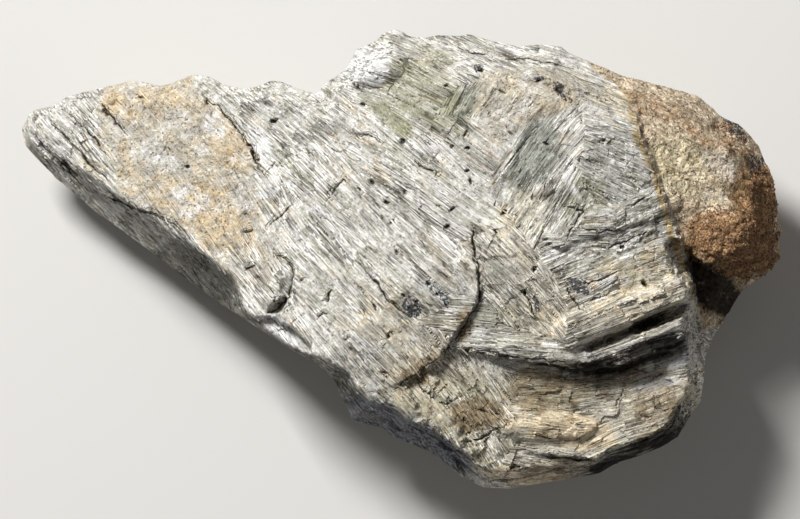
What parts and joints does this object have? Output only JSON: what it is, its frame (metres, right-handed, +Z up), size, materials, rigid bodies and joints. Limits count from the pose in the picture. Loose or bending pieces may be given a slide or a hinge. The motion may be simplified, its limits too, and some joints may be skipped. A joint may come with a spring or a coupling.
{
  "type": "wollastonite specimen",
  "caption": "Broken lump of bladed wollastonite with a thin wing at one end and a rounded, rust-stained shoulder at the other, lying flat on its underside.",
  "frame": {"origin": "bottom centre of the bounding box, at the level of the flat resting face of the underside", "axes": "+Z up from the resting face, out of the specimen's main face; +X along its length from the thin wing towards the rust-stained shoulder; +Y towards its back edge, where the pale knob is"},
  "size_m": [0.1524, 0.0914, 0.0529],
  "materials": {
    "wollastonite": "rough natural crystal, pale grey with cream, olive and rust staining"
  },
  "bodies": {
    "root": {"wollastonite_specimen": "wollastonite"}
  },
  "joints": []
}
